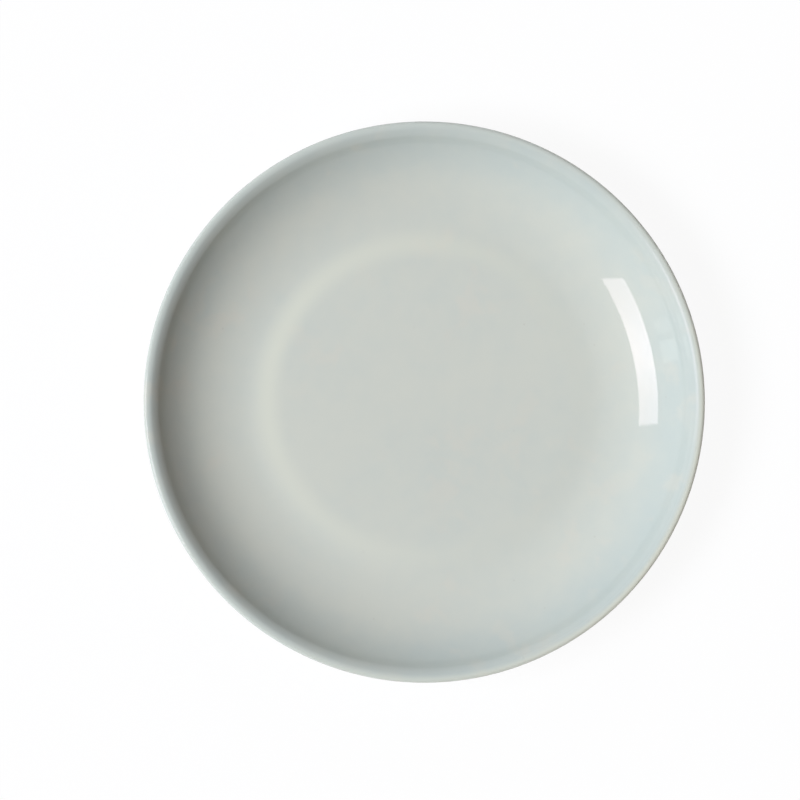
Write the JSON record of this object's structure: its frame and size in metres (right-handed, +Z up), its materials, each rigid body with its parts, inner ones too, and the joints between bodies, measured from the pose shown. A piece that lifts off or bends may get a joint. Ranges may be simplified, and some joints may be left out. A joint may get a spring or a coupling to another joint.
{
  "type": "soup plate",
  "caption": "Round rimless soup plate: flat well, wall curving up to a rounded lip, bare turned foot ring, glossy pale grey-green glaze.",
  "frame": {"origin": "centre of the plate on the plane that its foot ring stands on", "axes": "+Z up along the plate's axis of symmetry, out of the bowl; X and Y lie in the standing plane"},
  "size_m": [0.23, 0.23, 0.028],
  "materials": {
    "clay": "bare fired clay, matte",
    "glaze": "glossy pale grey-green glaze",
    "base_glaze": "glossy pale grey-green glaze inside the foot ring"
  },
  "bodies": {
    "root": {"ceramic_body": "clay", "glaze_coat": "glaze", "foot_well_glaze": "base_glaze"}
  },
  "joints": []
}
